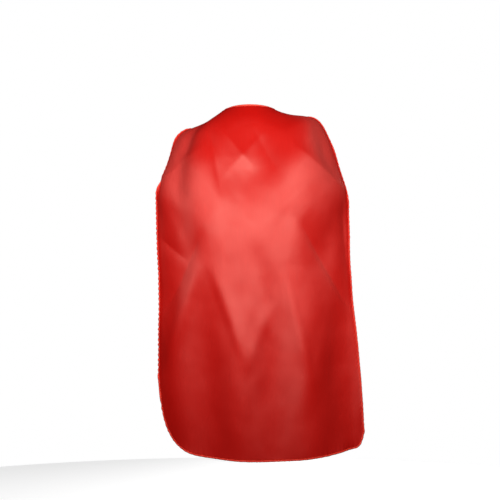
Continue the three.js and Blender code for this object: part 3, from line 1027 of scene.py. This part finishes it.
def path_on_tab(side, pairs, height):
    """Points and normals on a tab through (degrees, distance) pairs."""
    points = np.array([tab_point(side, degrees, distance, height) for degrees, distance in pairs])
    above = np.array([tab_normal(side, degrees, distance) for degrees, distance in pairs])
    return points, above * math.copysign(1, height)


def tab_stitches(side, word):
    """The topstitching round the tab's face, and the dense bar that sews it to the cape."""
    first, last = PANEL_REACH + 5, TAB_END - 2.5
    angles = first + (last - first) * np.sin(np.linspace(0, 1, 40) * math.pi / 2)
    inner = [(degrees, 3 + tab_inset(degrees, 3)) for degrees in angles]
    outer = [(degrees, TAB_WIDTH - distance) for degrees, distance in reversed(inner)]
    points, above = path_on_tab(side, inner + outer, TAB_THICK * 0.72)
    loop = stitch_row(word + "_tab_topstitch", points, above, THREAD, closed=True)
    bends_at_seam(loop, side)
    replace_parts(loop, word + "_tab_stitching")
    zigzag = []
    for step, distance in enumerate(np.arange(2, TAB_WIDTH - 2, 0.55)):
        zigzag.append((PANEL_REACH + (1.7 if step % 2 else 3.4), distance))
    points, above = path_on_tab(side, zigzag, TAB_THICK * 1.02)
    bar = stitch_row(word + "_tab_bar", points, above, THREAD, length=2.1, gap=0.15, radius=0.26)
    bends_at_seam(bar, side)
    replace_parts(bar, word + "_tab_bartack")


def patch_place(down, out, share):
    """The degrees and distance of a place on a patch, from -1 to 1 along it and across it."""
    degrees = (PATCH_FIRST + PATCH_LAST) / 2 + (PATCH_LAST - PATCH_FIRST) / 2 * share * down
    distance = TAB_WIDTH / 2 + (TAB_WIDTH / 2 - PATCH_INSET) * share * out
    return degrees, distance


def patch_layer(name, side, sign, count, share, top, bottom, finish, body):
    """A thin closed layer over a patch. share and top are its spread and its height at each place."""
    even = np.linspace(-1, 1, count)
    outer = np.zeros((count, count, 3))
    inner = np.zeros((count, count, 3))
    uv = np.zeros((count, count, 2))
    for row, down in enumerate(even):
        for column, out in enumerate(even):
            degrees, distance = patch_place(down, out, share(down, out))
            outer[row, column] = tab_point(side, degrees, distance, sign * top(down, out))
            inner[row, column] = tab_point(side, degrees, distance, sign * bottom)
            uv[row, column] = tab_uv(degrees, distance)
    layer = closed_sheet(name, outer, inner, uv, [finish, finish])
    face_out(layer)
    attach(layer, body)
    return layer


def patch_pad(name, side, sign, body):
    """The woven ground of a hook or loop patch, with rounded corners and a pressed-down border."""
    near, thick = 1.15, 0.75

    def share(down, out):
        return 1 - 0.06 * (down * out) ** 4

    def top(down, out):
        border = float(smoothstep(max(abs(down), abs(out)), 0.8, 0.95))
        return near + thick * (1 - 0.45 * border)

    return patch_layer(name + "_pad", side, sign, 15, share, top, near - 0.45, HOOKS, body)


def hooks_on(side, sign, body):
    """The rows of small nylon hooks that stand on the hook patch, bent towards its far edge."""
    bend = [(0, 0), (0, 0.35), (0.08, 0.62), (0.28, 0.74), (0.45, 0.62), (0.47, 0.46)]
    angles = np.linspace(0, 2 * math.pi, 5, endpoint=False)
    vertices, faces = [], []
    for degrees in np.arange(PATCH_FIRST + 2.2, PATCH_LAST - 2.1, 1.0):
        for distance in np.arange(PATCH_INSET + 2.6, TAB_WIDTH - PATCH_INSET - 2.4, 1.15):
            up = tab_normal(side, degrees, distance) * sign
            onward = tab_point(side, degrees + 0.5, distance, 0)
            run = unit(onward - tab_point(side, degrees, distance, 0))
            first = len(vertices)
            for lean, rise in bend:
                centre = tab_point(side, degrees, distance + lean, sign * (1.85 + rise))
                for angle in angles:
                    turn = run * math.cos(angle) + np.cross(up, run) * math.sin(angle)
                    vertices.append(centre + turn * 0.10 * MM)
            faces += tube_faces(first, len(bend), len(angles))
    uvs = [(vertex[0], vertex[1]) for vertex in vertices]
    hooks = mesh_piece("hook_patch_hooks", vertices, faces, uvs, [HOOKS])
    face_out(hooks)
    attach(hooks, body)


def pile_on(side, sign, body):
    """The brushed loops that stand on the loop patch, as a soft uneven cushion of fibre."""
    spread = 0.84

    def top(down, out):
        degrees, distance = patch_place(down, out, spread)
        tuft = noise.noise(Vector((degrees * 3.1, distance * 2.4, 2.0)))
        return 1.75 + (1 - max(abs(down), abs(out)) ** 10) * (0.42 + 0.26 * tuft)

    patch_layer("loop_patch_pile", side, sign, 60, lambda down, out: spread, top, 1.45, PILE, body)


def patch_stitches(name, side, sign, body):
    """The square of stitches round a patch, through to the tab's other side."""
    first, last = PATCH_FIRST + 1.1, PATCH_LAST - 1.1
    near, far = PATCH_INSET + 1.3, TAB_WIDTH - PATCH_INSET - 1.3
    pairs = [(degrees, near) for degrees in np.linspace(first, last, 14)]
    pairs += [(last, distance) for distance in np.linspace(near + 1, far - 1, 12)]
    pairs += [(degrees, far) for degrees in np.linspace(last, first, 14)]
    pairs += [(first, distance) for distance in np.linspace(far - 1, near + 1, 12)]
    on_patch, above = path_on_tab(side, pairs, sign * 1.52)
    behind, below = path_on_tab(side, pairs, -sign * TAB_THICK)
    short = {"length": 2.0, "gap": 0.7, "closed": True}
    shown = stitch_row(name + "_stitches", on_patch, above, THREAD, **short)
    through = stitch_row(name + "_stitches_behind", behind, below, THREAD, **short)
    for row in (shown, through):
        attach(row, body)
    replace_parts(through, name + "_stitching")


def closing_patches():
    """Hook tape under the right tab, and loop tape on top of the left one."""
    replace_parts(patch_pad("hook_patch", 1, -1, "right_tab"), "hook_patch")
    hooks_on(1, -1, "right_tab")
    patch_stitches("hook_patch", 1, -1, "right_tab")
    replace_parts(patch_pad("loop_patch", -1, 1, "left_tab"), "loop_patch")
    pile_on(-1, 1, "left_tab")
    patch_stitches("loop_patch", -1, 1, "left_tab")


# ---------------- the studio


def aimed(thing, place, target):
    """Puts a camera or light at a place, looking at a target."""
    thing.location = place
    thing.rotation_euler = (Vector(target) - Vector(place)).to_track_quat("-Z", "Y").to_euler()


def area_light(name, place, target, width, height, spread, power, shines=True):
    """A soft box. One that doesn't shine lights the cloth evenly and leaves no highlight on it."""
    light = bpy.data.lights.new(name, "AREA")
    light.shape = "RECTANGLE"
    light.size = width
    light.size_y = height
    light.spread = math.radians(spread)
    light.energy = power
    lamp = bpy.data.objects.new(name, light)
    lamp.visible_camera = False
    lamp.visible_glossy = shines
    scene.collection.objects.link(lamp)
    aimed(lamp, place, target)


def floor():
    """A plain pale round of floor where the wearer would stand."""
    angles = np.linspace(0, 2 * math.pi, 96, endpoint=False)
    rim = np.stack([np.cos(angles), np.sin(angles), np.zeros(96)], axis=-1) * FLOOR_RADIUS
    rim[:, 2] = CAD_BOX[0][2] - HEM_ABOVE_FLOOR
    piece = mesh_piece("floor", rim, [tuple(range(96))], rim[:, :2])
    paint = Finish("floor_paint", 0.9, 0.2)
    paint.colour(paint.mixed(paint.blotches(1.5, detail=4), srgb(246, 246, 246), srgb(252, 252, 252)))
    paint.shader.inputs["Emission Color"].default_value = (1, 1, 1, 1)
    paint.shader.inputs["Emission Strength"].default_value = 0.6
    piece.data.materials.append(paint.material)
    piece.visible_diffuse = False
    piece.visible_glossy = False


def backdrop(seen, cast):
    """Even white surroundings, dimmer as a light than as a backdrop."""
    world = bpy.data.worlds.new("studio")
    scene.world = world
    world.use_nodes = True
    tree = world.node_tree
    background = tree.nodes["Background"]
    background.inputs["Color"].default_value = (1, 1, 1, 1)
    path = tree.nodes.new("ShaderNodeLightPath")
    strength = tree.nodes.new("ShaderNodeMix")
    strength.inputs["A"].default_value = cast
    strength.inputs["B"].default_value = seen
    tree.links.new(path.outputs["Is Camera Ray"], strength.inputs["Factor"])
    tree.links.new(strength.outputs["Result"], background.inputs["Strength"])


def studio():
    """A camera square behind the wearer, and soft boxes behind, above and in front of the cape."""
    lens = bpy.data.cameras.new("camera")
    lens.lens = 94
    lens.sensor_width = 36
    camera = bpy.data.objects.new("camera", lens)
    scene.collection.objects.link(camera)
    aimed(camera, CAMERA_TARGET - Vector((0, CAMERA_DISTANCE, 0)), CAMERA_TARGET)
    scene.camera = camera
    area_light("key", (0.02, -1.3, -0.14), (0, -0.1, -0.18), 2.4, 0.36, 110, 15.5)
    area_light("top", (0, -1.1, 1.9), (0, -0.1, -0.2), 1.6, 1.0, 120, 17, shines=False)
    area_light("front", (0.7, 2.4, -0.3), (0, 0, -0.4), 1.4, 1.4, 120, 16)
    backdrop(1.0, 0.02)
    scene.view_settings.view_transform = "Standard"
    floor()


panel = cape_panel()
hem = rolled_edge()
neck_binding()
binding_stitches()
care_label()
for side, word in ((1, "right"), (-1, "left")):
    tab_pouch(side, word)
    tab_stitches(side, word)
closing_patches()
studio()
